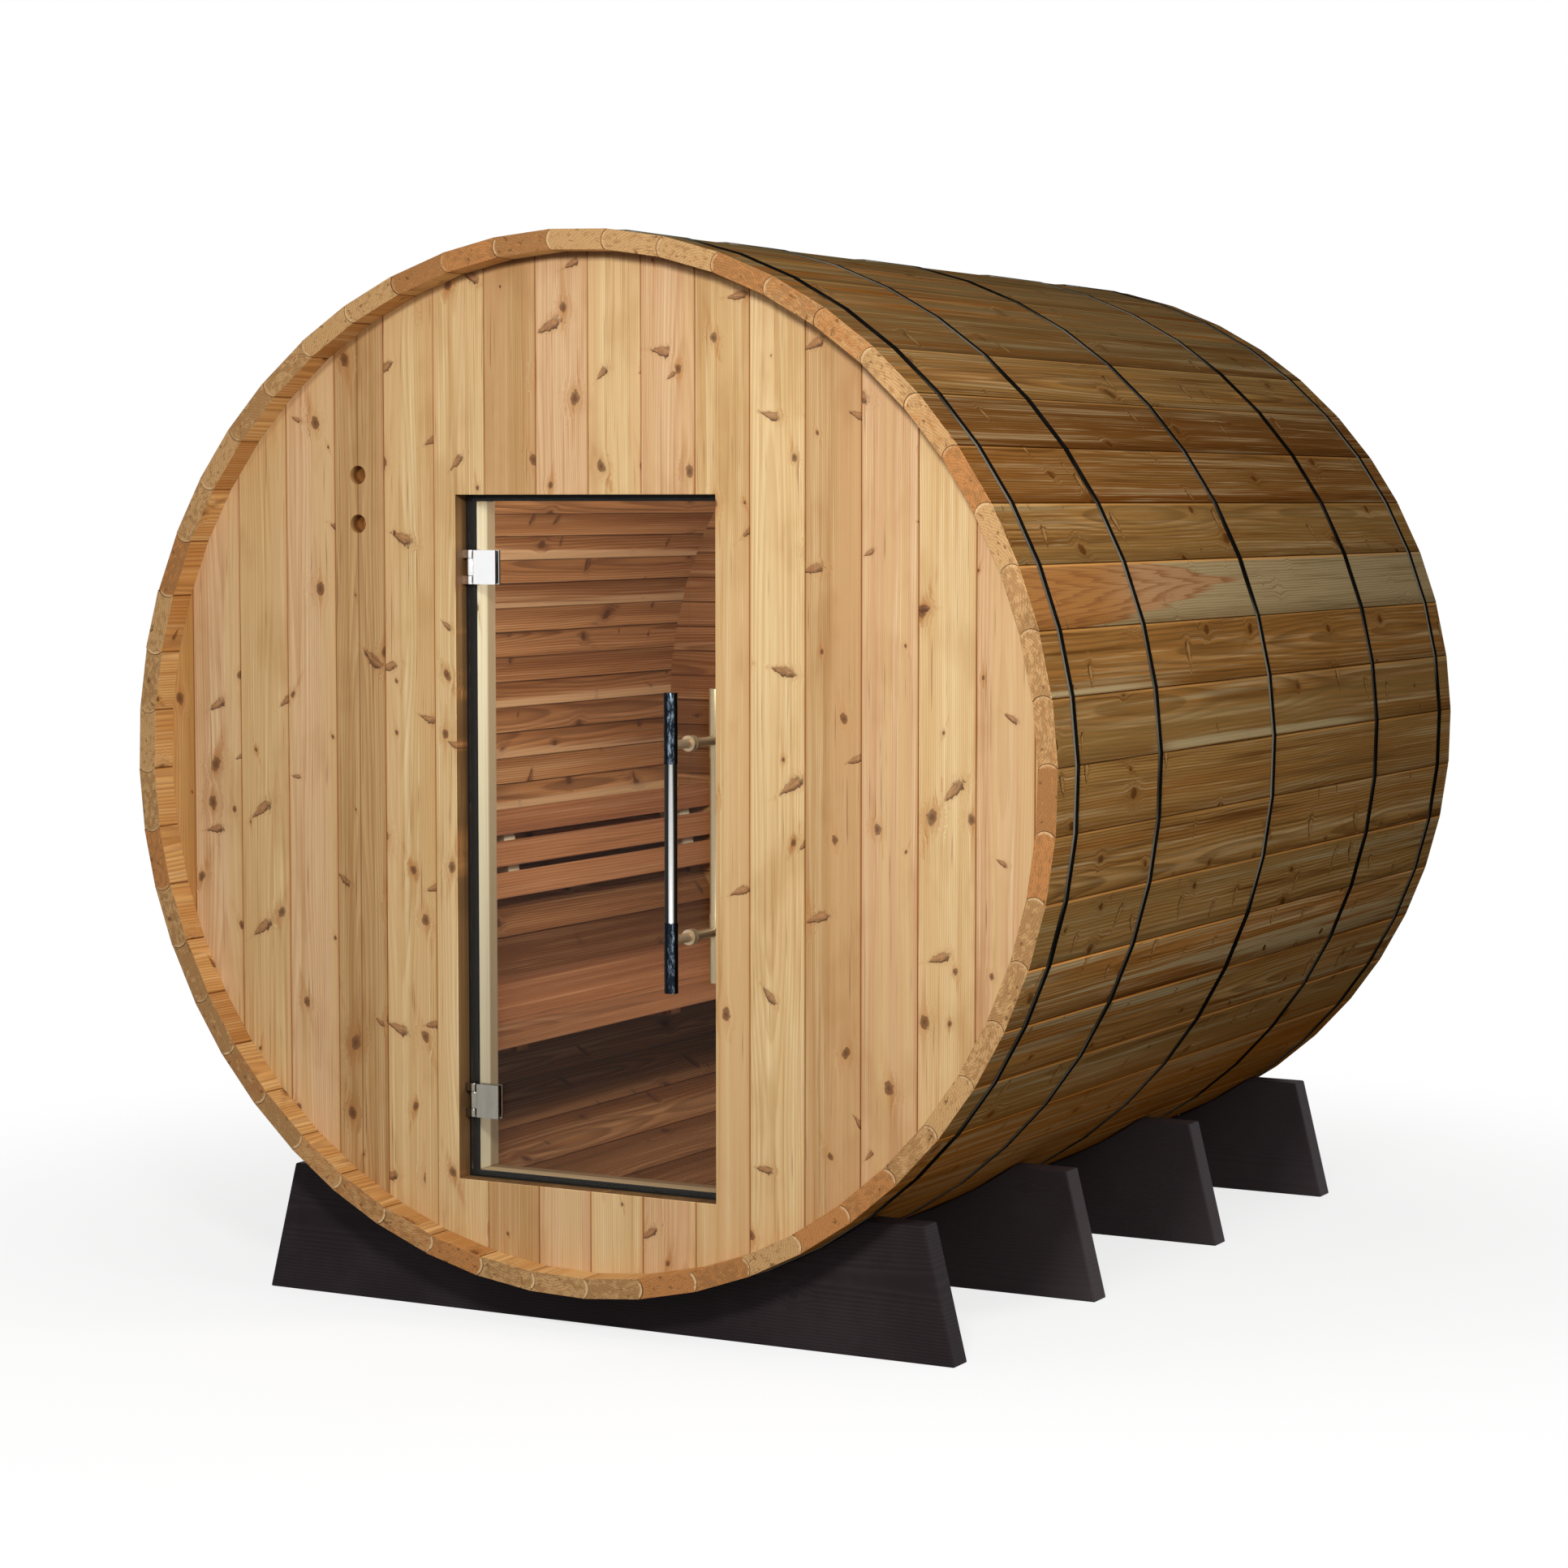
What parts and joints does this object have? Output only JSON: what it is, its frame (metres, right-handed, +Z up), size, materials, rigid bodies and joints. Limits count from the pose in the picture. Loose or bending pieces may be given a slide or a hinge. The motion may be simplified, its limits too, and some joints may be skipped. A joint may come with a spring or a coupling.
{
  "type": "barrel sauna",
  "caption": "Barrel-shaped sauna cabin of bead-and-cove staves on timber cradles, with steel bands, a boarded front, a hinged glass door and a slatted bench.",
  "frame": {"origin": "on the ground under the middle of the barrel", "axes": "+Z up, the barrel's axis along Y with the front and its door facing -Y, +X to the right seen from the front"},
  "size_m": [1.8336, 1.97, 1.8968],
  "materials": {
    "stave_wood": "oiled cedar, weathered to olive brown outside",
    "wall_wood": "planed cedar boards",
    "frame_wood": "planed pale timber",
    "bench_wood": "planed red-brown cedar",
    "cradle_wood": "black paint",
    "band_steel": "dark grey satin",
    "hinge_chrome": "polished",
    "handle_steel": "satin with polished ends",
    "seal_rubber": "matt black",
    "door_glass": "clear toughened glass"
  },
  "bodies": {
    "cabin": {"floor_staves": "stave_wood", "left_staves": "stave_wood", "right_staves": "stave_wood", "roof_staves": "stave_wood", "front_band": "band_steel", "front_inner_band": "band_steel", "middle_band": "band_steel", "rear_inner_band": "band_steel", "rear_band": "band_steel", "front_wall_left": "wall_wood", "front_wall_right": "wall_wood", "front_wall_header": "wall_wood", "front_wall_base": "wall_wood", "rear_wall": "wall_wood", "door_jambs": "frame_wood", "door_head": "frame_wood", "door_sill": "frame_wood", "door_seal": "seal_rubber", "hinge_brackets": "hinge_chrome", "front_cradle": "cradle_wood", "front_inner_cradle": "cradle_wood", "rear_inner_cradle": "cradle_wood", "rear_cradle": "cradle_wood", "bench_seat_slats": "bench_wood", "bench_front_rail": "bench_wood", "bench_brackets": "bench_wood", "backrest_slats": "bench_wood", "backrest_battens": "bench_wood"},
    "door": {"door_glass": "door_glass", "hinge_clamps": "hinge_chrome", "outer_handle_bar": "handle_steel", "outer_handle_posts": "handle_steel", "inner_handle_bar": "handle_steel", "inner_handle_posts": "handle_steel"}
  },
  "joints": [
    {"name": "door_hinge", "type": "hinge", "parent": "cabin", "child": "door", "pos_m": [-0.244, -0.906, 0.844], "axis": [0, 0, -1], "range_deg": [0, 90]}
  ]
}
